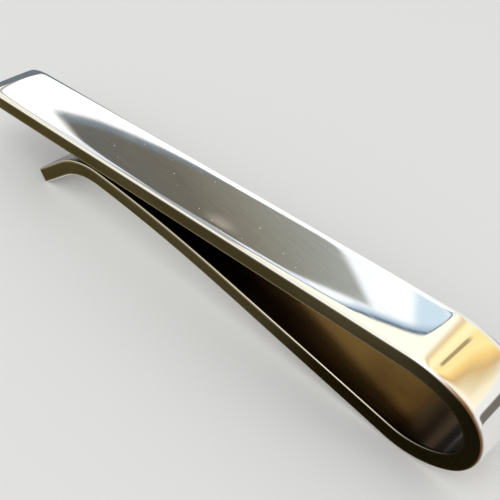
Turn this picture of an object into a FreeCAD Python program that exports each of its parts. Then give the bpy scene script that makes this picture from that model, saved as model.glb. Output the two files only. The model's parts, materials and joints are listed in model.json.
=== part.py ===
import FreeCAD, Part
import Sketcher
import math
import os

# Money clip: one strip of polished metal, bent once into a long teardrop spring.
# The front bar lies on top. Its strip turns round the bend, comes back underneath as
# the spring arm, rises to a crest just under the bar, and flares away as a lip.
#
# The strip is cut across, square to its run, into the stretches that act as rigid
# pieces when it springs open. Each stretch carries the same rounded section, starts
# where the one before it ends, and heads along its own +X with its outer face on +Z.
# In the finished part +X points from the bar's free end to the bend, +Y lies across
# the strip and +Z is up. The origin is under the middle, on the surface it rests on.

Vector = FreeCAD.Vector
ACROSS = Vector(0, 1, 0)

# Driving sizes in millimetres and degrees: alias, value, meaning.
SIZES = [
    ("strip_width", 6.0, "width of the strip"),
    ("strip_thickness", 1.6, "thickness of the strip"),
    ("edge_radius", 0.35, "rounding of the long edges and of the two free ends"),
    ("bar_length", 49.4, "straight front bar, free end to bend"),
    ("shoulder_radius", 9.0, "first, easy part of the bend, on the centreline"),
    ("shoulder_turn", 27.5, "turn of the shoulder"),
    ("crown_turn", 119.5, "turn of the tight part of the bend"),
    ("heel_radius", 6.5, "last part of the bend, on the centreline"),
    ("arm_rise", 12.0, "slope of the arm towards the bar"),
    ("arm_length", 17.3, "straight run of the spring arm"),
    ("sweep_radius", 125.0, "gentle back sweep of the arm, on the centreline"),
    ("sweep_turn", 7.2, "turn of the sweep"),
    ("crest_radius", 8.0, "rounded contact crest, on the centreline"),
    ("crest_turn", 40.0, "turn of the crest"),
    ("lip_length", 4.6, "straight flared lip"),
    ("crest_gap", 0.15, "free gap between the crest and the bar"),
]

# The crown's radius closes the loop: it leaves crest_gap between the crest and the bar.
CROWN_RADIUS = (
    "=(strip_thickness + crest_gap"
    " - shoulder_radius * (1 - cos(shoulder_turn))"
    " - heel_radius * (cos(shoulder_turn + crown_turn) + cos(arm_rise))"
    " + arm_length * sin(arm_rise)"
    " + sweep_radius * (cos(arm_rise - sweep_turn) - cos(arm_rise))"
    " + crest_radius * (1 - cos(arm_rise - sweep_turn)))"
    " / (cos(shoulder_turn) - cos(shoulder_turn + crown_turn))"
)
HEEL_TURN = "=180 + arm_rise - shoulder_turn - crown_turn"
# The rounding takes at most this share of the strip's half thickness.
EDGE_SHARE = 0.9
EDGE_RADIUS = f"min(sizes.edge_radius; {EDGE_SHARE} * sizes.strip_thickness / 2)"
# A corner this near the plane of a stretch's start lies on it.
ON_CUT = 1e-6

doc = FreeCAD.newDocument("money_clip")
sizes = doc.addObject("Spreadsheet::Sheet", "sizes")


def fill_sheet():
    rows = [(alias, str(value), meaning) for alias, value, meaning in SIZES]
    rows.append(("crown_radius", CROWN_RADIUS, "tight part of the bend, worked out"))
    rows.append(("heel_turn", HEEL_TURN, "turn of the heel, worked out"))
    for number, (alias, content, meaning) in enumerate(rows, start=1):
        sizes.set(f"A{number}", alias)
        sizes.set(f"B{number}", content)
        sizes.setAlias(f"B{number}", alias)
        sizes.set(f"C{number}", meaning)
    doc.recompute()


def bind(sketch, kind, name, expression, *references):
    """Add a dimension to a sketch and tie it to the sheet."""
    index = sketch.addConstraint(Sketcher.Constraint(kind, *references))
    sketch.renameConstraint(index, name)
    sketch.setExpression(f"Constraints.{name}", expression)


def edge_radius():
    """The rounding as built, limited by the strip's thickness."""
    return min(sizes.edge_radius, EDGE_SHARE * sizes.strip_thickness / 2)


def section_sketch(body):
    """The strip's section: a rectangle centred on the run."""
    sketch = body.newObject("Sketcher::SketchObject", body.Name + "_section")
    plane = [item for item in body.Origin.OriginFeatures if item.Role == "YZ_Plane"][0]
    sketch.AttachmentSupport = [(plane, "")]
    sketch.MapMode = "FlatFace"
    y = sizes.strip_width / 2
    z = sizes.strip_thickness / 2
    corners = [Vector(-y, -z, 0), Vector(y, -z, 0), Vector(y, z, 0), Vector(-y, z, 0)]
    sides = [Part.LineSegment(corners[side - 1], corners[side]) for side in range(4)]
    left, bottom, right, top = sketch.addGeometry(sides, False)
    for before, side in ((top, left), (left, bottom), (bottom, right), (right, top)):
        sketch.addConstraint(Sketcher.Constraint("Coincident", before, 2, side, 1))
    for side in (bottom, top):
        sketch.addConstraint(Sketcher.Constraint("Horizontal", side))
    for side in (left, right):
        sketch.addConstraint(Sketcher.Constraint("Vertical", side))
    sketch.addConstraint(Sketcher.Constraint("Symmetric", bottom, 1, right, 2, -1, 1))
    bind(sketch, "DistanceX", "width", "sizes.strip_width", bottom, 1, bottom, 2, 2 * y)
    bind(sketch, "DistanceY", "thickness", "sizes.strip_thickness", right, 1, right, 2, 2 * z)
    return sketch


def round_edges(body, start=False, end=False):
    """Round the long edges of a stretch, and the edges of the cut end that stays free."""
    doc.recompute()
    run = body.Tip
    names = []
    for number, edge in enumerate(run.Shape.Edges, start=1):
        at_start = [abs(vertex.X) < ON_CUT for vertex in edge.Vertexes]
        long_edge = any(at_start) and not all(at_start)
        if long_edge or (start and all(at_start)) or (end and not any(at_start)):
            names.append(f"Edge{number}")
    fillet = body.newObject("PartDesign::Fillet", body.Name + "_edges")
    fillet.Base = (run, names)
    fillet.setExpression("Radius", EDGE_RADIUS)


def straight_stretch(name, length, **free_end):
    """A straight run of the strip; length names its size on the sheet."""
    body = doc.addObject("PartDesign::Body", name)
    run = body.newObject("PartDesign::Pad", name + "_run")
    run.Profile = section_sketch(body)
    run.setExpression("Length", f"sizes.{length}")
    round_edges(body, **free_end)
    step = f"placement(vector(sizes.{length}; 0; 0); rotation(vector(0; 1; 0); 0))"
    return body, step


def curved_stretch(name, radius, turn, outward=False):
    """A bend of the strip about an axis across it, on its inner or its outer side."""
    body = doc.addObject("PartDesign::Body", name)
    sketch = section_sketch(body)
    half_width = sizes.strip_width / 2
    height = getattr(sizes, radius) * (1 if outward else -1)
    line = Part.LineSegment(Vector(-half_width, height, 0), Vector(half_width, height, 0))
    axis = sketch.addGeometry(line, True)
    sketch.addConstraint(Sketcher.Constraint("Symmetric", axis, 1, axis, 2, -2))
    bind(sketch, "DistanceX", "axis_length", "sizes.strip_width", axis, 1, axis, 2, 2 * half_width)
    ends = (-1, 1, axis, 1) if outward else (axis, 1, -1, 1)
    bind(sketch, "DistanceY", "bend_radius", f"sizes.{radius}", *ends, abs(height))
    bend = body.newObject("PartDesign::Revolution", name + "_bend")
    bend.Profile = sketch
    bend.ReferenceAxis = (sketch, ["Axis0"])
    bend.Reversed = outward
    bend.setExpression("Angle", f"sizes.{turn}")
    round_edges(body)
    sign = "-" if outward else ""
    drop = "" if outward else "-"
    step = (
        f"placement(vector(sizes.{radius} * sin(sizes.{turn}); 0;"
        f" {drop}sizes.{radius} * (1 - cos(sizes.{turn})));"
        f" rotation(vector(0; 1; 0); {sign}sizes.{turn}))"
    )
    return body, step


def front_bar():
    return straight_stretch("front_bar", "bar_length", start=True)


def bend_shoulder():
    return curved_stretch("bend_shoulder", "shoulder_radius", "shoulder_turn")


def bend_crown():
    return curved_stretch("bend_crown", "crown_radius", "crown_turn")


def bend_heel():
    return curved_stretch("bend_heel", "heel_radius", "heel_turn")


def spring_arm():
    return straight_stretch("spring_arm", "arm_length")


def arm_sweep():
    return curved_stretch("arm_sweep", "sweep_radius", "sweep_turn", outward=True)


def arm_crest():
    return curved_stretch("arm_crest", "crest_radius", "crest_turn", outward=True)


def flared_lip():
    return straight_stretch("flared_lip", "lip_length", end=True)


def join_stretches(stretches):
    """Place each stretch where the one before it ends."""
    for (before, step), (body, _) in zip(stretches, stretches[1:]):
        body.setExpression("Placement", f"{before.Name}.Placement * {step}")
    doc.recompute()


def level_angle(heel, lip):
    """Turn about +Y that brings the heel and the lip's tip down to one level.

    Both touch the surface with a round: the heel's outer face and the tip's rounding.
    """
    half_thickness = sizes.strip_thickness / 2
    tip_radius = edge_radius()
    heel_radius = sizes.heel_radius + half_thickness
    heel_centre = heel.Placement.multVec(Vector(0, 0, -sizes.heel_radius))
    tip = Vector(sizes.lip_length - tip_radius, 0, half_thickness - tip_radius)
    tip_centre = lip.Placement.multVec(tip)
    span = heel_centre - tip_centre
    slope = math.atan2(span.z, span.x)
    wanted = math.asin((heel_radius - tip_radius) / span.Length)
    return math.degrees(slope - wanted)


def stand(stretches):
    """Level the clip on its heel and tip, and bring the origin under its middle."""
    bodies = {body.Name: body for body, _ in stretches}
    bar = bodies["front_bar"]
    turn = FreeCAD.Rotation(ACROSS, level_angle(bodies["bend_heel"], bodies["flared_lip"]))
    bar.Placement = FreeCAD.Placement(Vector(0, 0, 0), turn)
    doc.recompute()
    box = FreeCAD.BoundBox()
    for body in bodies.values():
        box.add(body.Shape.optimalBoundingBox())
    middle = Vector((box.XMin + box.XMax) / 2, 0, box.ZMin)
    bar.Placement = FreeCAD.Placement(-middle, turn)
    doc.recompute()
    print(f"outside: {box.XLength:.2f} x {box.YLength:.2f} x {box.ZLength:.2f} mm")


def print_flex_lines(stretches):
    """Report the outer edge of each joint line, where the strip springs open."""
    top = Vector(0, 0, sizes.strip_thickness / 2)
    for body, _ in stretches:
        point = body.Placement.multVec(top)
        heading = body.Placement.Rotation.multVec(Vector(1, 0, 0))
        print(f"{body.Label}: start at {point.x:.3f}, {point.y:.3f}, {point.z:.3f}"
              f"  heading {heading.x:.4f}, {heading.z:.4f}")


def check_document(stretches):
    for item in doc.Objects:
        if "Invalid" in item.State or "Error" in item.State:
            raise RuntimeError(f"{item.Label} failed: {item.State}")
    for body, _ in stretches:
        if body.Shape.isNull() or not body.Shape.isValid():
            raise RuntimeError(f"{body.Label} has no valid shape")


fill_sheet()
strip = [
    front_bar(),
    bend_shoulder(),
    bend_crown(),
    bend_heel(),
    spring_arm(),
    arm_sweep(),
    arm_crest(),
    flared_lip(),
]
join_stretches(strip)
stand(strip)
print_flex_lines(strip)
check_document(strip)

os.makedirs("parts", exist_ok=True)
for piece, _ in strip:
    piece.Shape.exportStep(f"parts/{piece.Label}.step")
    print(f"{piece.Label}: {piece.Shape.Volume:.2f} mm3")
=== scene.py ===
import json
import math

import bpy
import numpy as np
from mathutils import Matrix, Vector


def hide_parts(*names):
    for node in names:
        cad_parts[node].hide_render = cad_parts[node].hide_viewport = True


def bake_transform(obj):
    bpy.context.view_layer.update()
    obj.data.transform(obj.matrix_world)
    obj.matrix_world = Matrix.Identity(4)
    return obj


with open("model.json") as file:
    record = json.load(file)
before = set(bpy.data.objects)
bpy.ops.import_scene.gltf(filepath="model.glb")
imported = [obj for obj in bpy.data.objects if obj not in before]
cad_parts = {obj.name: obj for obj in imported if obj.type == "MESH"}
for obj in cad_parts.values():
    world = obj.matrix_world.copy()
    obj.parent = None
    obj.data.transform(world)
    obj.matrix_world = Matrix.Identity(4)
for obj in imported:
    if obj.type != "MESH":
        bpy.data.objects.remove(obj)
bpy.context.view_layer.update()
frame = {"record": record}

mm = 0.001


def toLinear(hexColour):  # sRGB hex to linear: a straight part near black, a power of 2.4 above it
    values = [int(hexColour[i:i + 2], 16) / 255 for i in (1, 3, 5)]
    linear = [v / 12.92 if v <= 0.04045 else ((v + 0.055) / 1.055) ** 2.4 for v in values]
    return (*linear, 1.0)


def addNode(tree, kind, settings=None, inputs=None):
    # one node: settings are its own values, inputs are socket values or other nodes' outputs
    node = tree.nodes.new(kind)
    for name, value in (settings or {}).items():
        setattr(node, name, value)
    for name, value in (inputs or {}).items():
        if isinstance(value, bpy.types.NodeSocket):
            tree.links.new(value, node.inputs[name])
        else:
            node.inputs[name].default_value = value
    return node


# mm and degrees
strip = dict(
    width=6.0,
    thickness=1.6,
    barLength=49.4,
    shoulderRadius=9.0,
    shoulderTurn=27.5,
    crownRadius=3.329,
    crownTurn=119.5,
    heelRadius=6.5,
    heelTurn=45.0,
    armLength=17.3,
    sweepRadius=125.0,
    sweepTurn=7.2,
    crestRadius=8.0,
    crestTurn=40.0,
    lipLength=4.6,
    easing=0.35,      # the length over which one bend eases into the next
    endOut=0.55,      # how far the round free end stands past the solid's
    step=0.01,        # between the points that the centreline is summed over
)


def bendLength(radius, turn):  # arc length: radius times the turn in radians
    return radius * math.radians(turn)


def stretchTable():
    # (name, length in mm, bend per mm): a straight run has none, and a turn back is negative
    s = strip
    return [
        ("bar", s["barLength"] + s["endOut"], 0.0),
        ("shoulder", bendLength(s["shoulderRadius"], s["shoulderTurn"]), 1 / s["shoulderRadius"]),
        ("crown", bendLength(s["crownRadius"], s["crownTurn"]), 1 / s["crownRadius"]),
        ("heel", bendLength(s["heelRadius"], s["heelTurn"]), 1 / s["heelRadius"]),
        ("arm", s["armLength"], 0.0),
        ("sweep", bendLength(s["sweepRadius"], s["sweepTurn"]), -1 / s["sweepRadius"]),
        ("crest", bendLength(s["crestRadius"], s["crestTurn"]), -1 / s["crestRadius"]),
        ("lip", s["lipLength"], 0.0),
    ]


stretches = stretchTable()
starts = dict(zip([row[0] for row in stretches], np.cumsum([0] + [row[1] for row in stretches])))
fullLength = sum(row[1] for row in stretches)

faceMount = next(m for m in frame["record"]["mounts"] if m["name"] == "bar_face")
slope = math.atan2(-faceMount["axis"][0], faceMount["axis"][2])


def stripRun():
    # The centreline: bend per mm, eased by a sliding average, is summed into a heading, and
    # the heading's cosine and sine are summed into places. The bar's face mount places it.
    step = strip["step"]
    along = np.arange(0, fullLength + step, step)
    edges = np.cumsum([row[1] for row in stretches])
    bendPerMm = np.array([row[2] for row in stretches])[np.searchsorted(edges[:-1], along)]
    reach = int(strip["easing"] / step)
    window = np.hanning(2 * reach + 1)
    padded = np.pad(bendPerMm, reach, mode="edge")
    eased = np.convolve(padded, window / window.sum(), mode="valid")
    heading = slope - np.concatenate([[0], np.cumsum((eased[1:] + eased[:-1]) / 2 * step)])
    x = np.concatenate([[0], np.cumsum((np.cos(heading[1:]) + np.cos(heading[:-1])) / 2 * step)])
    z = np.concatenate([[0], np.cumsum((np.sin(heading[1:]) + np.sin(heading[:-1])) / 2 * step)])
    face = np.array(faceMount["pos_m"]) / mm
    half = strip["barLength"] / 2 + strip["endOut"]
    x += face[0] - half * math.cos(slope) + strip["thickness"] / 2 * math.sin(slope)
    z += face[2] - half * math.sin(slope) - strip["thickness"] / 2 * math.cos(slope)
    return along, x, z, heading


run = stripRun()
print("strip run", round(fullLength, 1), "mm")


def onRun(along):  # centre, heading and outward side of the strip at distances along it
    x = np.interp(along, run[0], run[1])
    z = np.interp(along, run[0], run[2])
    heading = np.interp(along, run[0], run[3])
    centre = np.stack([x, np.zeros_like(x), z], axis=-1)
    forward = np.stack([np.cos(heading), np.zeros_like(x), np.sin(heading)], axis=-1)
    outward = np.stack([-np.sin(heading), np.zeros_like(x), np.cos(heading)], axis=-1)
    return centre, forward, outward


# for each face, degrees and mm: its crown, the turn, place and spread of its pillowed
# border, the size of its corner and the crown of the side
section = dict(
    outer=dict(crown=2.1, pillow=16.0, pillowIn=0.33, pillowSpread=0.19, corner=0.085, side=1.5),
    inner=dict(crown=0.6, pillow=14.0, pillowIn=0.16, pillowSpread=0.08, corner=0.08, side=1.5),
    samples=2401,     # over a quarter of the section, from which its points are picked
    points=56,        # round half of the section
    turnWeight=9.0,   # how much closer the points lie where the outline turns
    outerPast=0.04,   # mm by which the outer face's finish reaches round its corners
    sidePast=0.02,    # and by which the sides' finish reaches round theirs
)


def quarterOutline(crown, pillow, pillowIn, pillowSpread, corner, side):
    # From the middle of a face to the middle of a side. The heading is a crown spread evenly
    # over the face, plus smooth steps for the pillowed border and the corner, plus a side
    # crown. Its cosine and sine are summed, then stretched to the true half sizes.
    halfWidth = strip["width"] / 2
    halfDepth = strip["thickness"] / 2
    girth = np.linspace(0, halfWidth + halfDepth, section["samples"])

    def smoothStep(centre, spread):
        return 0.5 * (1 + np.tanh((girth - centre) / spread))

    heading = crown * np.clip(girth / halfWidth, 0, 1)
    heading += pillow * smoothStep(halfWidth - pillowIn, pillowSpread)
    heading += (90 - crown - pillow - side) * smoothStep(halfWidth, corner)
    heading += side * np.clip((girth - halfWidth) / halfDepth, 0, 1)
    heading = np.radians(heading)
    step = girth[1]
    across = np.concatenate([[0], np.cumsum(np.cos(heading[1:]) * step)])
    drop = np.concatenate([[0], np.cumsum(np.sin(heading[1:]) * step)])
    return across * halfWidth / across[-1], halfDepth * (1 - drop / drop[-1])


def sectionOutline():
    # Right half from the outer face's middle to the inner face's middle, then mirrored.
    # Points are spread evenly over distance plus weighted turn.
    outerAcross, outerHeight = quarterOutline(**section["outer"])
    innerAcross, innerHeight = quarterOutline(**section["inner"])
    across = np.concatenate([outerAcross, innerAcross[-2::-1]])
    height = np.concatenate([outerHeight, -innerHeight[-2::-1]])
    dAcross = np.gradient(across)
    dHeight = np.gradient(height)
    size = np.hypot(dAcross, dHeight)
    normalAcross = -dHeight / size
    normalHeight = dAcross / size
    turn = np.abs(np.gradient(np.unwrap(np.arctan2(normalHeight, normalAcross))))
    measure = np.cumsum(size + turn * section["turnWeight"] / math.pi)
    measure -= measure[0]
    girth = np.cumsum(size)
    girth -= girth[0]
    wanted = np.linspace(0, measure[-1], section["points"])
    half = [np.interp(wanted, measure, values)
            for values in (across, height, normalAcross, normalHeight, girth)]
    mirror = [half[0][-2:0:-1] * -1, half[1][-2:0:-1], half[2][-2:0:-1] * -1, half[3][-2:0:-1]]
    mirroredGirth = 2 * girth[-1] - half[4][-2:0:-1]
    outline = [np.concatenate([a, b]) for a, b in zip(half[:4], mirror)]
    return (*outline, np.concatenate([half[4], mirroredGirth]), 2 * girth[-1])


outline = sectionOutline()


def zoneOf(girth):
    # 0 on the outer face and its rounded border, 1 on the two sides, 2 on the inner face
    halfGirth = outline[5] / 2
    fromOuter = np.minimum(girth, 2 * halfGirth - girth)
    sideStart = strip["width"] / 2 + section["outerPast"]
    sideEnd = halfGirth - strip["width"] / 2 + section["sidePast"]
    return np.where(fromOuter < sideStart, 0, np.where(fromOuter < sideEnd, 1, 2))


# mm: a free end closes over a small round, and the front bar's outer face is buffed down
# towards its end and, close to it, towards its long edges
endShape = dict(
    depth=0.2,
    reach=0.2,
    rings=10,
    gap=0.01,               # the least step to the next ring
    capRings=[0.6, 0.25],   # the sizes of the rings that close the flat of the end
    capMapped=0.5,          # the share of its height that the flat keeps on the map
)
buffedEnd = dict(
    reach=2.1,
    slope=11.5,             # degrees
    sideReach=0.9,
    sideSlope=4.0,
    fade=4.0,               # how far from the end the long edges are buffed down
    bowReach=1.6,
    bow=0.4,
)


def endRings():
    # A free end: the section shrinks along a quarter ellipse, then closes flat to its middle.
    # Returns distance from the end plane, the shrink of width and depth, and the ellipse angle.
    angle = np.linspace(0, math.pi / 2, endShape["rings"])
    back = endShape["reach"] * (1 - np.sin(angle))
    loss = endShape["depth"] * (1 - np.cos(angle))
    acrossScale = 1 - loss / (strip["width"] / 2)
    depthScale = 1 - loss / (strip["thickness"] / 2)
    return back, acrossScale, depthScale, angle


def endDrop(fromEnd, across):
    # How far the outer face is buffed down, and its slopes: the slope grows with the square
    # of the nearness to the end, and of the nearness to a long edge, which fades along the
    # run. The end counts as bowed, nearer by the square of the nearness to a long edge.
    s = buffedEnd
    fromSide = strip["width"] / 2 - np.abs(across)
    endSlope = math.tan(math.radians(s["slope"]))
    sideSlope = math.tan(math.radians(s["sideSlope"])) * np.clip(1 - fromEnd / s["fade"], 0, 1) ** 2
    bowing = np.clip(1 - fromSide / s["bowReach"], 0, 1)
    nearEnd = np.maximum(1 - (fromEnd - s["bow"] * bowing ** 2) / s["reach"], 0)
    nearSide = np.clip(1 - fromSide / s["sideReach"], 0, 1)
    drop = endSlope * s["reach"] / 3 * nearEnd ** 3 + sideSlope * s["sideReach"] / 3 * nearSide ** 3
    bowSlope = endSlope * nearEnd ** 2 * s["bow"] * 2 * bowing / s["bowReach"]
    return drop, -endSlope * nearEnd ** 2, (sideSlope * nearSide ** 2 + bowSlope) * np.sign(across)


def ringRows(start, end, roundStart, roundEnd):
    # One ring at each place along the run, and a quarter ellipse of rings at a round end.
    # Returns the places, the shrink of width and depth, and the angle by which each ring's
    # normals lean out of the section plane.
    along = places[(places >= start) & (places <= end)]
    along = np.unique(np.concatenate([[start], along, [end]]))
    rows = [along, np.ones_like(along), np.ones_like(along), np.zeros_like(along)]
    back, acrossScale, depthScale, angle = endRings()
    clear = endShape["reach"] + endShape["gap"]
    if roundStart:
        keep = rows[0] > start + clear
        first = [start + back, acrossScale, depthScale, -angle]
        rows = [np.concatenate([new[::-1], old[keep]]) for new, old in zip(first, rows)]
    if roundEnd:
        keep = rows[0] < end - clear
        last = [end - back, acrossScale, depthScale, angle]
        rows = [np.concatenate([old[keep], new]) for new, old in zip(last, rows)]
    return rows


def skinPoints(rows, buffedDown):
    # A surface of two parameters, distance along the run and distance round the section:
    # centre + across * width axis + height * outward side, less the buffed drop. Normals come
    # from the same formula, so neighbouring skins meet with no visible seam. The rings of the
    # two caps and their middles follow the skin's own points.
    along, acrossScale, depthScale, lean = rows
    across, height, normalAcross, normalHeight = outline[:4]
    centre, forward, outward = onRun(along)
    wide = np.array([0.0, 1.0, 0.0])
    y = across[None, :] * acrossScale[:, None]
    n = height[None, :] * depthScale[:, None]
    flat = normalAcross[None, :, None] * wide + normalHeight[None, :, None] * outward[:, None, :]
    if buffedDown:
        drop, alongSlope, acrossSlope = endDrop(along[:, None] - along[0], y)
        n = n - drop * np.clip(n / (strip["thickness"] / 2), 0, 1)
        upward = np.clip(normalHeight, 0, 1)[None, :]
        flat = flat + (upward * alongSlope)[..., None] * forward[:, None, :]
        flat = flat + (upward * acrossSlope)[..., None] * wide
    points = centre[:, None, :] + y[..., None] * wide + n[..., None] * outward[:, None, :]
    tilt = np.arctan2(np.sin(lean) * endShape["depth"], np.cos(lean) * endShape["reach"])
    tilt = tilt[:, None, None]
    normals = flat * np.cos(tilt) + forward[:, None, :] * np.sin(tilt)
    normals /= np.linalg.norm(normals, axis=-1, keepdims=True)
    allPoints = [points.reshape(-1, 3)]
    allNormals = [normals.reshape(-1, 3)]
    for row, direction in ((0, -1), (-1, 1)):
        for scale in endShape["capRings"]:
            allPoints.append(centre[row] + (points[row] - centre[row]) * scale)
            allNormals.append(np.tile(forward[row] * direction, (len(across), 1)))
    allPoints.append(centre[[0, -1]])
    allNormals.append(np.stack([-forward[0], forward[-1]]))
    return np.concatenate(allPoints), np.concatenate(allNormals), y, n


def skinFaces(rows, columns):
    # quads between neighbouring rings, then two narrowing rings and a fan at each end
    ring = np.arange(columns)
    after = (ring + 1) % columns

    def band(first, second):   # quads between two rings, given by their first vertex
        return np.stack([first + ring, second + ring, second + after, first + after], axis=-1)

    caps = rows * columns
    last = caps - columns
    startFan = caps + columns
    endFan = caps + 3 * columns
    middle = np.full(columns, caps + 4 * columns)
    quads = [band(row * columns, (row + 1) * columns) for row in range(rows - 1)]
    quads += [band(caps, 0), band(startFan, caps)]
    quads += [band(last, caps + 2 * columns), band(caps + 2 * columns, endFan)]
    fans = [np.stack([startFan + ring, startFan + after, middle], axis=-1),
            np.stack([endFan + after, endFan + ring, middle + 1], axis=-1)]
    return np.concatenate(quads).tolist() + np.concatenate(fans).tolist()


def mapSkin(mesh, along, y, n):
    # The pattern's own map: distance along the run and round the section, in centimetres. The
    # last quad of a ring runs on past the full girth. A cap is mapped flat, with its height
    # kept within the middle of a side. Returns each face's finish.
    across, height = outline[:2]
    girth, fullGirth = outline[4:]
    rows, columns = y.shape
    capScales = np.repeat(endShape["capRings"] * 2, columns)
    alongAll = np.concatenate([
        np.repeat(along, columns), np.repeat(along[[0, 0, -1, -1]], columns), along[[0, -1]]])
    girthAll = np.concatenate([np.tile(girth, rows + 4), [0, 0]])
    acrossAll = np.concatenate([y.ravel(), np.tile(across, 4) * capScales, [0, 0]])
    heightAll = np.concatenate([n.ravel(), np.tile(height, 4) * capScales, [0, 0]])
    loopVertex = np.empty(len(mesh.loops), dtype=np.int32)
    mesh.loops.foreach_get("vertex_index", loopVertex)
    sizes = np.empty(len(mesh.polygons), dtype=np.int32)
    mesh.polygons.foreach_get("loop_total", sizes)
    owner = np.repeat(np.arange(len(sizes)), sizes)
    loopAlong = alongAll[loopVertex]
    loopGirth = girthAll[loopVertex]
    faceMost = np.zeros(len(sizes))
    np.maximum.at(faceMost, owner, loopGirth)
    runsOn = (faceMost[owner] > fullGirth * 0.75) & (loopGirth < fullGirth * 0.25)
    loopGirth[runsOn] += fullGirth
    faceGirth = np.zeros(len(sizes))
    np.add.at(faceGirth, owner, loopGirth)
    faceGirth /= sizes
    skinQuads = (rows - 1) * columns
    onCap = owner >= skinQuads
    loopAlong[onCap] += acrossAll[loopVertex[onCap]]
    capHeight = heightAll[loopVertex[onCap]] * endShape["capMapped"]
    loopGirth[onCap] = fullGirth / 4 + capHeight
    layer = mesh.uv_layers.new(name="stripMap")
    layer.data.foreach_set("uv", np.stack([loopAlong / 10, loopGirth / 10], axis=-1).ravel())
    zones = zoneOf(faceGirth % fullGirth)
    zones[skinQuads:] = 1               # the flat of a free end is filed like the sides
    return zones.astype(np.int32)


def stripSkin(name, start, end, roundStart=False, roundEnd=False):
    # one closed piece of the strip between two distances along the run
    rows = ringRows(start, end, roundStart, roundEnd)
    points, normals, y, n = skinPoints(rows, roundStart)
    mesh = bpy.data.meshes.new(name)
    mesh.from_pydata((points * mm).tolist(), [], skinFaces(*y.shape))
    mesh.update()
    mesh.polygons.foreach_set("material_index", mapSkin(mesh, rows[0], y, n))
    mesh.polygons.foreach_set("use_smooth", np.ones(len(mesh.polygons), dtype=bool))
    mesh.update()
    mesh.normals_split_custom_set_from_vertices(normals.tolist())
    piece = bpy.data.objects.new(name, mesh)
    bpy.context.scene.collection.objects.link(piece)
    for material in (buffedFace, filedEdge, innerFace):
        mesh.materials.append(material)
    print("skin", name, y.shape[0], "by", y.shape[1], "points")
    return piece


smooth = dict(interpolation_type="SMOOTHSTEP")
ofColour = dict(data_type="RGBA")
ofNumber = dict(data_type="FLOAT")


def newMaterial(name):  # a material with its tree, its shader and the strip's own map
    material = bpy.data.materials.new(name)
    material.use_nodes = True
    tree = material.node_tree
    shader = tree.nodes["Principled BSDF"]
    stripMap = addNode(tree, "ShaderNodeUVMap", dict(uv_map="stripMap"))
    return material, tree, shader, stripMap.outputs["UV"]


def bareMetal(tree, shader, colour, rough, height, depth):
    # bare metal of a colour and a roughness, with a relief of a depth in mm
    bump = addNode(tree, "ShaderNodeBump", {}, {
        "Height": height, "Strength": 1.0, "Distance": depth * mm})
    shader.inputs["Metallic"].default_value = 1.0
    tree.links.new(colour, shader.inputs["Base Color"])
    tree.links.new(rough, shader.inputs["Roughness"])
    tree.links.new(bump.outputs["Normal"], shader.inputs["Normal"])


def stretchedNoise(tree, mapVector, alongMm, roundMm, detail, roughness=0.5, turn=0.0):
    # noise whose grains are alongMm long on the run and roundMm wide round the section, turned
    # by some degrees on the face; the map is in centimetres
    mapping = addNode(tree, "ShaderNodeMapping", dict(vector_type="TEXTURE"), {
        "Vector": mapVector, "Rotation": (0.0, 0.0, math.radians(turn)),
        "Scale": (alongMm / 10, roundMm / 10, 1.0)})
    noise = addNode(tree, "ShaderNodeTexNoise", {}, {
        "Vector": mapping.outputs["Vector"], "Scale": 1.0, "Detail": detail,
        "Roughness": roughness})
    return noise.outputs["Fac"]


def runMask(tree, mapVector, first, last, soft):
    # 1 between two distances along the run, in mm, easing in and out over a soft length
    parts = addNode(tree, "ShaderNodeSeparateXYZ", {}, {0: mapVector})
    steps = [addNode(tree, "ShaderNodeMapRange", smooth, {
        "Value": parts.outputs["X"], "From Min": low / 10, "From Max": high / 10}).outputs["Result"]
        for low, high in ((first - soft, first), (last + soft, last))]
    both = addNode(tree, "ShaderNodeMath", dict(operation="MULTIPLY"), {0: steps[0], 1: steps[1]})
    return both.outputs["Value"]


def cornerMask(tree, mapVector, width):
    # 1 on the long corners of the sides, 0 past a width in mm, or past it on the faces where
    # the width is negative: the way round the section is folded at half its girth, so both
    # sides and all four corners share one measure
    parts = addNode(tree, "ShaderNodeSeparateXYZ", {}, {0: mapVector})
    halfGirth = outline[5] / 2
    folded = addNode(tree, "ShaderNodeMath", dict(operation="PINGPONG"), {
        0: parts.outputs["Y"], 1: halfGirth / 10})
    middle = addNode(tree, "ShaderNodeMath", dict(operation="SUBTRACT"), {
        0: folded.outputs["Value"], 1: halfGirth / 20})
    away = addNode(tree, "ShaderNodeMath", dict(operation="ABSOLUTE"), {
        0: middle.outputs["Value"]})
    halfSide = halfGirth / 2 - strip["width"] / 2 + section["sidePast"]
    mask = addNode(tree, "ShaderNodeMapRange", smooth, {
        "Value": away.outputs["Value"],
        "From Min": (halfSide - width) / 10, "From Max": halfSide / 10})
    return mask.outputs["Result"]


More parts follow.
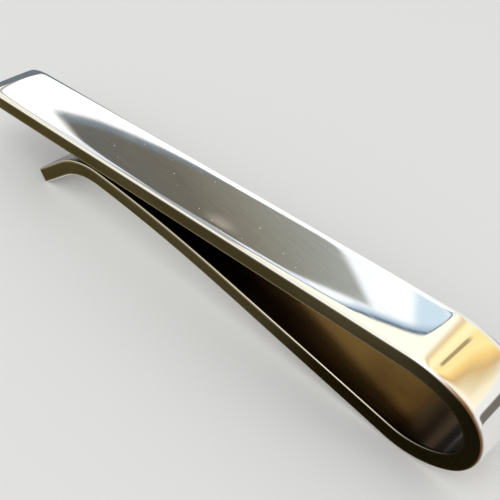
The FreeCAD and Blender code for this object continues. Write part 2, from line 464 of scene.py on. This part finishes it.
# sterling silver, mirror buffed: a clear white reflection, with fine mop lines that show
# as grain in its dark parts, a slow ripple that bends straight reflections, dull rub
# marks and a few bright nicks. A noise is its length and width in mm, its detail, its
# roughness and its turn in degrees; a mask is where on the noise it starts and is full.
buffed = dict(
    light="#f9f8f6",
    dull="#eeebe7",
    paintedCornerShade="#7a5634",       # painted shade and painted dark reflection on the bend's corners
    paintedCornerShadeWidth=0.3,        # mm
    paintedCornerShadeSoft=3.5,
    clear=0.035,            # roughness of the clear polish, of rubbed patches, lines and nicks
    rubbed=0.06,
    lined=0.34,
    nicked=0.36,
    line=(5.0, 0.11, 3.0, 0.7, -9.0),   # the mop lines, drawn three times too coarse to show
    lineMask=(0.55, 0.95),
    grainMask=(0.33, 0.68),
    grainEnd=13.0,          # mm short of the bend, where the last buffing has cleared the grain
    grainSoft=9.0,
    rub=(3.2, 1.1, 4.0, 0.65),
    rubMask=(0.5, 0.75),
    ripple=(5.5, 3.4, 1.0),
    rippleHeight=0.0026,    # mm, as the sizes below
    nickSpacing=1.7,
    nickSize=0.036,
    nickShare=0.25,         # the share of the places that have one
    nickLeast=0.001,
)


def buffedSilver():  # clear polish, roughened by rubs, lines and nicks, and toned by grain
    material, tree, shader, mapVector = newMaterial("buffedSilver")
    ripple = stretchedNoise(tree, mapVector, *buffed["ripple"])
    line = stretchedNoise(tree, mapVector, *buffed["line"])
    rub = stretchedNoise(tree, mapVector, *buffed["rub"])
    rubMask, grainMask, lineMask = [addNode(tree, "ShaderNodeMapRange", smooth, {
        "Value": noise, "From Min": buffed[name][0], "From Max": buffed[name][1]})
        for noise, name in ((rub, "rubMask"), (line, "grainMask"), (line, "lineMask"))]
    rubbed = addNode(tree, "ShaderNodeMapRange", {}, {
        "Value": rubMask.outputs["Result"],
        "To Min": buffed["clear"], "To Max": buffed["rubbed"]})
    lined = addNode(tree, "ShaderNodeMix", ofNumber, {
        0: lineMask.outputs["Result"], 2: rubbed.outputs["Result"], 3: buffed["lined"]})
    # nicks: a small spot in some of the cells, where a cell's own chance is high enough
    perCell = 10 / buffed["nickSpacing"]
    nickMap = addNode(tree, "ShaderNodeMapping", {}, {
        "Vector": mapVector, "Scale": (perCell, perCell, 1.0)})
    nick = addNode(tree, "ShaderNodeTexVoronoi", dict(voronoi_dimensions="2D"), {
        "Vector": nickMap.outputs["Vector"], "Scale": 1.0})
    chance = addNode(tree, "ShaderNodeSeparateXYZ", {}, {0: nick.outputs["Color"]})
    nickSize = addNode(tree, "ShaderNodeMapRange", {}, {
        "Value": chance.outputs["X"], "From Min": 1 - buffed["nickShare"],
        "To Min": buffed["nickLeast"], "To Max": buffed["nickSize"]})
    nickMask = addNode(tree, "ShaderNodeMath", dict(operation="LESS_THAN"), {
        0: nick.outputs["Distance"], 1: nickSize.outputs["Result"]})
    nicked = addNode(tree, "ShaderNodeMix", ofNumber, {
        0: nickMask.outputs["Value"], 2: lined.outputs[0], 3: buffed["nicked"]})
    # the grain's dull tone fades out before the bend, and the bend's corners get painted shade
    grainLast = starts["shoulder"] - buffed["grainEnd"]
    grainShare = addNode(tree, "ShaderNodeMath", dict(operation="MULTIPLY"), {
        0: grainMask.outputs["Result"],
        1: runMask(tree, mapVector, 0, grainLast, buffed["grainSoft"])})
    tone = addNode(tree, "ShaderNodeMix", ofColour, {
        0: grainShare.outputs["Value"],
        6: toLinear(buffed["light"]), 7: toLinear(buffed["dull"])})
    # painted shade: brown on the face's corners round the bend
    paintedCornerShade = addNode(tree, "ShaderNodeMath", dict(operation="MULTIPLY"), {
        0: cornerMask(tree, mapVector, -buffed["paintedCornerShadeWidth"]),
        1: runMask(tree, mapVector, starts["crown"], starts["arm"], buffed["paintedCornerShadeSoft"])})
    cornered = addNode(tree, "ShaderNodeMix", ofColour, {
        0: paintedCornerShade.outputs["Value"], 6: tone.outputs[2], 7: toLinear(buffed["paintedCornerShade"])})
    bareMetal(tree, shader, cornered.outputs[2], nicked.outputs[0], ripple, buffed["rippleHeight"])
    return material


# sterling silver, filed: satin, with a thin tarnish under an olive brown that is mostly painted
# reflection of a dark room, nearly black round the bend as painted shade, and rubbed back to tan
# along its corners
filed = dict(
    # olive brown: mostly painted reflection of a dark room, over a thin tarnish
    pale="#514935",
    dark="#463e29",
    # nearly black round the bend: painted shade and painted dark reflection
    bend="#130e0a",
    bendShare=0.97,
    bendStart=1.7,          # mm past the crown's start, and past the arm's
    bendEnd=5.7,
    bendSoft=10.0,
    corner="#a3987c",
    cornerWidth=0.22,       # mm
    grazing="#e1d7bc",      # the tarnish still browns the reflection at a low angle
    mark=(2.6, 0.12, 3.0, 0.6),
    markMask=(0.3, 0.7),
    markHeight=0.0006,      # mm
    rough=(0.22, 0.34),
    cloud=(7.0, 2.0, 2.0),
    cloudMask=(0.3, 0.7),
)


def filedSilver():  # cloudy tarnish under painted dark reflection, pale at the corners and nearly black round the bend as painted shade
    material, tree, shader, mapVector = newMaterial("filedSilverEdge")
    mark = stretchedNoise(tree, mapVector, *filed["mark"])
    cloud = stretchedNoise(tree, mapVector, *filed["cloud"])
    rough = addNode(tree, "ShaderNodeMapRange", {}, {
        "Value": mark, "From Min": filed["markMask"][0], "From Max": filed["markMask"][1],
        "To Min": filed["rough"][0], "To Max": filed["rough"][1]})
    cloudMask = addNode(tree, "ShaderNodeMapRange", smooth, {
        "Value": cloud, "From Min": filed["cloudMask"][0], "From Max": filed["cloudMask"][1]})
    tone = addNode(tree, "ShaderNodeMix", ofColour, {
        0: cloudMask.outputs["Result"], 6: toLinear(filed["pale"]), 7: toLinear(filed["dark"])})
    cornered = addNode(tree, "ShaderNodeMix", ofColour, {
        0: cornerMask(tree, mapVector, filed["cornerWidth"]),
        6: tone.outputs[2], 7: toLinear(filed["corner"])})
    # painted shade: the sides go nearly black round the bend
    bendMask = runMask(tree, mapVector, starts["crown"] + filed["bendStart"],
                       starts["arm"] + filed["bendEnd"], filed["bendSoft"])
    bendShare = addNode(tree, "ShaderNodeMath", dict(operation="MULTIPLY"), {
        0: bendMask, 1: filed["bendShare"]})
    bent = addNode(tree, "ShaderNodeMix", ofColour, {
        0: bendShare.outputs["Value"], 6: cornered.outputs[2], 7: toLinear(filed["bend"])})
    shader.inputs["Specular Tint"].default_value = toLinear(filed["grazing"])
    bareMetal(tree, shader, bent.outputs[2], rough.outputs["Result"], mark, filed["markHeight"])
    return material


# sterling silver, the inner face: polished before bending, still glossy, with a thin tarnish under
# a brown that is mostly painted shade and painted reflection of the dark inside, deepest under the
# bar as painted shade. A stretch is its first and last distance along the run and the length that
# it fades over, in mm.
inner = dict(
    # brown: painted shade and painted dark reflection over a thin tarnish
    pale="#625039",
    dark="#362419",
    rubbed="#6a583e",       # the start of the arm, rubbed paler
    rubbedRun=(starts["arm"] + 6, starts["arm"] + 13, 4.5),
    bend="#33271a",         # and the inside of the bend, darker: painted shade
    bendRun=(starts["crown"] + 2, starts["arm"] - 2, 3.0),
    lip="#2f2b22",          # the crest and the lip, darkest: painted dark reflection and painted shade
    lipRun=(starts["crest"] - 2, fullLength, 5.0),
    rim="#dcd6c2",          # the arm's inner rims, rubbed bright, with a painted highlight
    rimRun=(starts["heel"] + 10, fullLength, 12.0),
    rimWidth=0.13,
    mark=(7.0, 0.14, 3.0, 0.6),
    markMask=(0.3, 0.7),
    markHeight=0.0003,
    rough=(0.16, 0.26),
    cloud=(9.0, 4.0, 3.0),
    cloudMask=(0.3, 0.7),
)


def tarnishAndShadeSilver():  # cloudy tarnish and painted shade, changed over stretches of the run, with bright rims that carry a painted highlight
    material, tree, shader, mapVector = newMaterial("tarnishAndShadeInside")
    cloud = stretchedNoise(tree, mapVector, *inner["cloud"])
    mark = stretchedNoise(tree, mapVector, *inner["mark"])
    rough = addNode(tree, "ShaderNodeMapRange", {}, {
        "Value": mark, "From Min": inner["markMask"][0], "From Max": inner["markMask"][1],
        "To Min": inner["rough"][0], "To Max": inner["rough"][1]})
    cloudMask = addNode(tree, "ShaderNodeMapRange", smooth, {
        "Value": cloud, "From Min": inner["cloudMask"][0], "From Max": inner["cloudMask"][1]})
    tone = addNode(tree, "ShaderNodeMix", ofColour, {
        0: cloudMask.outputs["Result"], 6: toLinear(inner["pale"]), 7: toLinear(inner["dark"])})
    # paler over the arm's start, then painted shade in the bend and on the crest and lip
    for name in ("rubbed", "bend", "lip"):
        tone = addNode(tree, "ShaderNodeMix", ofColour, {
            0: runMask(tree, mapVector, *inner[name + "Run"]),
            6: tone.outputs[2], 7: toLinear(inner[name])})
    # bright rims: rubbed bright, and a painted highlight
    rimShare = addNode(tree, "ShaderNodeMath", dict(operation="MULTIPLY"), {
        0: cornerMask(tree, mapVector, -inner["rimWidth"]),
        1: runMask(tree, mapVector, *inner["rimRun"])})
    rimmed = addNode(tree, "ShaderNodeMix", ofColour, {
        0: rimShare.outputs["Value"], 6: tone.outputs[2], 7: toLinear(inner["rim"])})
    bareMetal(tree, shader, rimmed.outputs[2], rough.outputs["Result"], mark, inner["markHeight"])
    return material


buffedFace = buffedSilver()
filedEdge = filedSilver()
innerFace = tarnishAndShadeSilver()
print("metal made")


def ringPlaces():
    # rings close together where the run bends and far apart where it is straight: each stretch
    # is its first distance along the run and the spacing of its rings, in mm
    s = starts
    parts = [
        (0, 0.05),
        (1.6, 0.2),
        (7.2, 0.5),
        (s["shoulder"] - 1, 0.1),
        (s["crown"] - 0.6, 0.06),
        (s["heel"] + 0.6, 0.1),
        (s["arm"] + 1, 0.5),
        (s["sweep"] - 1, 0.3),
        (s["crest"] - 1, 0.1),
        (s["lip"] + 1, 0.3),
    ]
    ends = [first for first, spacing in parts[1:]] + [fullLength]
    return np.concatenate([np.arange(first, end, spacing)
                           for (first, spacing), end in zip(parts, ends)])


places = ringPlaces()
seams = dict(
    crown=starts["crown"] + 0.6 * bendLength(strip["crownRadius"], strip["crownTurn"]),
    arm=starts["arm"] + 8.6,
)

frontSkin = stripSkin("front_bar_skin", 0.0, seams["crown"], roundStart=True)
bendSkin = stripSkin("bend_skin", seams["crown"], seams["arm"])
armSkin = stripSkin("arm_skin", seams["arm"], fullLength, roundEnd=True)

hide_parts("front_bar", "bend_shoulder")
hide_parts("bend_crown", "bend_heel")
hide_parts("spring_arm", "arm_sweep", "arm_crest", "flared_lip")


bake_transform(frontSkin)
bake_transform(bendSkin)
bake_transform(armSkin)


floorLook = dict(halfSize=1.5, colour="#ececea")


def paleFloor():  # a plain matt square under the clip
    size = floorLook["halfSize"]
    corners = [(-size, -size, 0), (size, -size, 0), (size, size, 0), (-size, size, 0)]
    mesh = bpy.data.meshes.new("floor")
    mesh.from_pydata(corners, [], [(0, 1, 2, 3)])
    floor = bpy.data.objects.new("floor", mesh)
    bpy.context.scene.collection.objects.link(floor)
    material = bpy.data.materials.new("paleFloor")
    material.use_nodes = True
    shader = material.node_tree.nodes["Principled BSDF"]
    shader.inputs["Base Color"].default_value = toLinear(floorLook["colour"])
    shader.inputs["Roughness"].default_value = 1.0
    shader.inputs["Specular IOR Level"].default_value = 0.0
    mesh.materials.append(material)


paleFloor()

# the room that the polished metal sees round it, by direction: azimuth turns from +X towards
# +Y, elevation rises from the horizon, both in degrees
studio = dict(
    white="#ffffff",
    boost=1.13,             # the white parts are this much brighter
    strength=1.16,
    plain="#fbfbfb",        # what everything but a reflection sees
    plainStrength=0.78,
    shelfFoot=32.0,         # where the wall's pale shelf starts
    wallTurn=145.0,         # the grey wall's foot rises past here, per degree
    wallRise=0.24,
    wallLean=0.3,           # its left end leans past the shelf's foot, per degree up
    wallEndLean=0.12,       # its right end leans too, from this height up
    wallEndFoot=34.0,
    wallTopTurn=131.0,      # and its top rises past here, per degree
    wallTopRise=0.1,
    blueLean=0.25,          # the blue strip's start leans, per degree above a height
    blueHeight=39.5,
    ceiling=43.8,           # the edge where wall meets ceiling
    ceilingTurn=122.0,      # from here on that edge bends down, by a square law
    ceilingBend=0.06,
    ceilingRise=0.22,       # and from here on it rises, per degree
    ceilingRiseTurn=126.0,
    leftLean=0.65,          # the wall's left end leans, in degrees of azimuth per degree up
    leftEnd=137.5,
    corner=1.4,             # how widely the outline's corners are rounded
    warmAzimuth=114.4,      # the sunlit side of the room starts here, and lower down further back
    warmBackTop=36.0,
    warmBack=3.0,
    waveTop=47.0,           # below this its last gold reaches further round, up to a limit
    waveMost=5.0,
    goldEnd=84.0,
    footTurn=45.0,          # from here on the top of its pale foot climbs, up to a limit
    footClimb=0.7,
    footMost=10.5,
    doorwayLean=1.17,       # each degree down opens the doorway by this much
)


def roomMeasures():
    # arithmetic on the direction, in rows: name, operation, then numbers or earlier names
    s = studio
    return [
        ("turned", "ARCTAN2", "y", "x"),
        ("turnedDegrees", "MULTIPLY", "turned", math.degrees(1)),
        ("azimuth", "WRAP", "turnedDegrees", 270.0, -90.0),
        ("raised", "ARCSINE", "z"),
        ("elevation", "MULTIPLY", "raised", math.degrees(1)),
        # height over the wall's foot, which rises past its turning point
        ("pastTurn", "SUBTRACT", s["wallTurn"], "azimuth"),
        ("footTurn", "MAXIMUM", "pastTurn", 0.0),
        ("footRise", "MULTIPLY", "footTurn", s["wallRise"]),
        ("footHeight", "SUBTRACT", "elevation", "footRise"),
        # place against the wall's left and right ends, which lean, and its top, which rises
        ("overShelf", "SUBTRACT", "elevation", s["shelfFoot"]),
        ("leanStart", "MAXIMUM", "overShelf", 0.0),
        ("wallBack", "MULTIPLY", "leanStart", s["wallLean"]),
        ("wallPlace", "SUBTRACT", "azimuth", "wallBack"),
        ("overEnd", "SUBTRACT", "elevation", s["wallEndFoot"]),
        ("endStart", "MAXIMUM", "overEnd", 0.0),
        ("wallForth", "MULTIPLY", "endStart", s["wallEndLean"]),
        ("wallEndPlace", "ADD", "azimuth", "wallForth"),
        ("pastTop", "SUBTRACT", s["wallTopTurn"], "azimuth"),
        ("topTurn", "MAXIMUM", "pastTop", 0.0),
        ("topRise", "MULTIPLY", "topTurn", s["wallTopRise"]),
        ("topHeight", "SUBTRACT", "elevation", "topRise"),
        # place against the blue strip's leaning start
        ("overBlue", "SUBTRACT", "elevation", s["blueHeight"]),
        ("blueBack", "MULTIPLY", "overBlue", s["blueLean"]),
        ("bluePlace", "SUBTRACT", "azimuth", "blueBack"),
        # depth inside the whole outline: under the ceiling's edge, short of the warm side
        # and of the left end, with rounded corners
        ("pastBend", "SUBTRACT", s["ceilingTurn"], "azimuth"),
        ("bendTurn", "MAXIMUM", "pastBend", 0.0),
        ("bendSquare", "MULTIPLY", "bendTurn", "bendTurn"),
        ("bendDrop", "MULTIPLY", "bendSquare", s["ceilingBend"]),
        ("pastRise", "SUBTRACT", "azimuth", s["ceilingRiseTurn"]),
        ("riseTurn", "MAXIMUM", "pastRise", 0.0),
        ("rise", "MULTIPLY", "riseTurn", s["ceilingRise"]),
        ("edgeTop", "SUBTRACT", s["ceiling"], "bendDrop"),
        ("edgeRaised", "ADD", "edgeTop", "rise"),
        ("underEdge", "SUBTRACT", "edgeRaised", "elevation"),
        ("underBackTop", "SUBTRACT", s["warmBackTop"], "elevation"),
        ("backStart", "MAXIMUM", "underBackTop", 0.0),
        ("back", "MINIMUM", "backStart", s["warmBack"]),
        ("warmPlace", "ADD", "azimuth", "back"),
        ("shortOfWarm", "SUBTRACT", "warmPlace", s["warmAzimuth"]),
        ("lean", "MULTIPLY", "elevation", s["leftLean"]),
        ("leftPlace", "SUBTRACT", "azimuth", "lean"),
        ("shortOfLeft", "SUBTRACT", s["leftEnd"], "leftPlace"),
        ("rightDepth", "SMOOTH_MIN", "underEdge", "shortOfWarm", s["corner"]),
        ("depth", "SMOOTH_MIN", "rightDepth", "shortOfLeft", s["corner"]),
        # the warm side's last gold reaches further round low down, as a wave
        ("underWave", "SUBTRACT", s["waveTop"], "elevation"),
        ("waveDepth", "MAXIMUM", "underWave", 0.0),
        ("pastGold", "LESS_THAN", "azimuth", s["goldEnd"]),
        ("waveShare", "MINIMUM", "waveDepth", s["waveMost"]),
        ("wave", "MULTIPLY", "waveShare", "pastGold"),
        ("goldPlace", "ADD", "azimuth", "wave"),
        # height over the warm side's pale foot, whose top climbs
        ("pastFoot", "SUBTRACT", "azimuth", s["footTurn"]),
        ("climbTurn", "MAXIMUM", "pastFoot", 0.0),
        ("climbing", "MULTIPLY", "climbTurn", s["footClimb"]),
        ("climb", "MINIMUM", "climbing", s["footMost"]),
        ("overClimb", "SUBTRACT", "elevation", "climb"),
        ("doorLean", "MULTIPLY", "elevation", s["doorwayLean"]),
        ("doorPlace", "SUBTRACT", "azimuth", "doorLean"),
    ]


# colours strung along a measure
roomRamps = dict(
    wall=("azimuth", [(148, "#646460"), (140, "#6c685e"), (134, "#858378"), (126, "#9b9f9a")]),
    edge=("azimuth", [(180, "#b4b3aa"), (158, "#aeaea6"), (150, "#8c8f8d"), (137, "#70777c"),
                      (131, "#40566e"), (112, "#3f5370")]),
    warm=("goldPlace", [
        (210, "#f0efea"), (190, "#ece8d8"), (165, "#efecdc"), (150, "#f8f6e8"), (140, "#fefeeb"),
        (111, "#fdf9e6"), (106, "#dcc6a0"), (104, "#e1ca9c"), (101, "#fdedb4"), (96, "#fcefbc"),
        (90, "#f3dfa0"), (81, "#fbe4a0"), (75, "#efcb81"), (69, "#cfae78"), (64, "#d9c59a"),
        (56, "#f0e5c6"), (46, "#f8efda"), (38, "#f3eee2"), (24, "#e6dac6"), (8, "#b8a284"),
        (-6, "#b8a284"), (-22, "#ebe8e0"), (-50, "#f2f2f0")]),
)

# what stands in the room, each painted over the ones before: a colour or a ramp's name, then
# rows of a measure, its low and high limit and the degrees that it fades over on each side
roomZones = [
    # pale shelf over the wall, greyer to its left
    ("#dfe6f2", [("elevation", studio["shelfFoot"], None, 0.8)]),
    ("#a4a8aa", [("elevation", 40.5, None, 2.0), ("azimuth", 145, None, 3)]),
    # lavender plaster right of the wall, and a blue strip
    ("#f5f9fe", [("azimuth", None, 131.4, 1.0), ("elevation", 20, None, 2.0)]),
    ("#c6dae8", [("azimuth", 115.6, None, 0.9), ("bluePlace", None, 119.1, 0.5),
                 ("elevation", 36, None, 2.0)]),
    # grey wall, bluer along its foot, with a pale smear
    ("wall", [("wallEndPlace", 125.4, None, 0.7), ("wallPlace", None, 149.2, 0.8),
              ("footHeight", 28.0, None, 0.35), ("topHeight", None, 41.7, 0.4)]),
    ("#76828c", [("azimuth", 134, None, 3), ("wallPlace", None, 149.2, 0.8),
                 ("footHeight", 27.8, 28.8, 0.5)]),
    ("#a59d92", [("azimuth", 137.2, 139.2, 1.2), ("elevation", 36.7, 38.1, 0.8)]),
    # halo inside the outline, the warm side beyond it, and the outline itself
    ("#9fb8ca", [("depth", None, 0.9, 0.6), ("azimuth", None, 138, 3), ("elevation", 31, None, 3)]),
    ("warm", [("depth", None, -0.1, 0.25)]),
    ("edge", [("depth", -0.2, 0.3, 0.2), ("azimuth", None, 136, 3), ("elevation", 31, None, 3)]),
    ("edge", [("depth", -0.7, 1.0, 0.8), ("azimuth", 136, None, 3)]),
    # narrow dark shelf in the gold, and a tan blind high up past it
    ("#a5926a", [("azimuth", 88.0, 92.0, 0.7), ("elevation", 46.2, 53.0, 0.7)]),
    ("#c4a781", [("azimuth", None, 14, 5), ("elevation", 37, None, 5)]),
    # the warm side's pale foot, with a dark skirting
    ("#e4e4e1", [("azimuth", None, 112, 3), ("elevation", None, 25.5, 4)]),
    ("#e4e4e1", [("azimuth", None, 106, 3), ("overClimb", None, 25.5, 3)]),
    ("#6d6963", [("azimuth", 30.0, 64.0, 5), ("elevation", None, 13.5, 2.0)]),
    # dark doorway behind the free end, bluer at its foot
    ("#6c757c", [("doorPlace", 122.5, 150.0, 1.0), ("elevation", None, 22.5, 0.5)]),
    ("#70809a", [("doorPlace", 122.5, 150.0, 1.0), ("elevation", None, 5, 2)]),
    # plain light overhead
    ("#f9f9f7", [("elevation", 75.0, None, 5)]),
]


def zoneMask(tree, limits):
    # 1 where each value lies between its low and high limit, falling smoothly to 0 over soft
    # degrees on each side; limits are rows of value, low, high and soft
    mask = None
    for value, low, high, soft in limits:
        for limit, direction in ((low, 1), (high, -1)):
            if limit is None:
                continue
            step = addNode(tree, "ShaderNodeMapRange", smooth, {
                "Value": value, "From Min": limit - soft * direction,
                "From Max": limit + soft * direction}).outputs["Result"]
            if mask is not None:
                step = addNode(tree, "ShaderNodeMath", dict(operation="MULTIPLY"), {
                    0: mask, 1: step}).outputs["Value"]
            mask = step
    return mask


def directionRamp(tree, measure, stops):
    # colours strung along a measure, from the first stop's place to the last one's
    first, last = stops[0][0], stops[-1][0]
    share = addNode(tree, "ShaderNodeMapRange", {}, {
        "Value": measure, "From Min": first, "From Max": last})
    ramp = addNode(tree, "ShaderNodeValToRGB", {}, {0: share.outputs["Result"]})
    elements = ramp.color_ramp.elements
    elements[0].color = toLinear(stops[0][1])
    elements[1].color = toLinear(stops[-1][1])
    for place, hexColour in stops[1:-1]:
        elements.new((place - first) / (last - first)).color = toLinear(hexColour)
    return ramp.outputs["Color"]


def studioWorld():  # glossy rays see the painted room, all others a plain pale light
    s = studio
    world = bpy.data.worlds.new("studio")
    world.use_nodes = True
    bpy.context.scene.world = world
    tree = world.node_tree
    tree.nodes.clear()
    place = addNode(tree, "ShaderNodeTexCoord")
    axes = addNode(tree, "ShaderNodeSeparateXYZ", {}, {0: place.outputs["Generated"]})
    known = dict(x=axes.outputs["X"], y=axes.outputs["Y"], z=axes.outputs["Z"])
    for name, operation, *parts in roomMeasures():
        known[name] = addNode(tree, "ShaderNodeMath", dict(operation=operation), {
            i: known.get(part, part) for i, part in enumerate(parts)}).outputs["Value"]
    ramps = {name: directionRamp(tree, known[measure], stops)
             for name, (measure, stops) in roomRamps.items()}
    colour = [v * s["boost"] for v in toLinear(s["white"])]
    for fresh, limits in roomZones:
        mask = zoneMask(tree, [(known[measure], *limit) for measure, *limit in limits])
        colour = addNode(tree, "ShaderNodeMix", ofColour, {
            0: mask, 6: colour,
            7: ramps[fresh] if fresh in ramps else toLinear(fresh)}).outputs[2]
    seen = addNode(tree, "ShaderNodeBackground", {}, {"Color": colour, "Strength": s["strength"]})
    plain = addNode(tree, "ShaderNodeBackground", {}, {
        "Color": toLinear(s["plain"]), "Strength": s["plainStrength"]})
    path = addNode(tree, "ShaderNodeLightPath")
    reflected = addNode(tree, "ShaderNodeMixShader", {}, {
        0: path.outputs["Is Glossy Ray"],
        1: plain.outputs["Background"], 2: seen.outputs["Background"]})
    addNode(tree, "ShaderNodeOutputWorld", {}, {"Surface": reflected.outputs["Shader"]})


studioWorld()
print("room made,", len(roomZones), "zones")

# degrees, metres and watts
key = dict(azimuth=-70, elevation=58, distance=0.6, size=0.6, energy=0.8)


def softKey():  # one large disk of light, facing the middle of the scene
    light = bpy.data.lights.new("softKey", "AREA")
    light.shape = "DISK"
    light.size = key["size"]
    light.energy = key["energy"]
    lamp = bpy.data.objects.new("softKey", light)
    bpy.context.scene.collection.objects.link(lamp)
    azimuth = math.radians(key["azimuth"])
    elevation = math.radians(key["elevation"])
    away = Vector((math.cos(azimuth) * math.cos(elevation),
                   math.sin(azimuth) * math.cos(elevation),
                   math.sin(elevation)))
    lamp.location = away * key["distance"]
    lamp.rotation_euler = away.to_track_quat("Z", "Y").to_euler()


softKey()

# metres, degrees and millimetres
view = dict(place=(0.037269, -0.038404, 0.050902), turn=(48.027, -3.412, 43.789), lens=60.67)


def placeCamera():  # it looks down the strip from its bend
    cameraData = bpy.data.cameras.new("camera")
    cameraData.sensor_width = 36
    cameraData.lens = view["lens"]
    cameraData.clip_start = 0.001
    camera = bpy.data.objects.new("camera", cameraData)
    bpy.context.scene.collection.objects.link(camera)
    camera.location = view["place"]
    camera.rotation_euler = [math.radians(angle) for angle in view["turn"]]
    bpy.context.scene.camera = camera


placeCamera()
print("lamp and camera placed")

bpy.context.scene.view_settings.view_transform = "Standard"
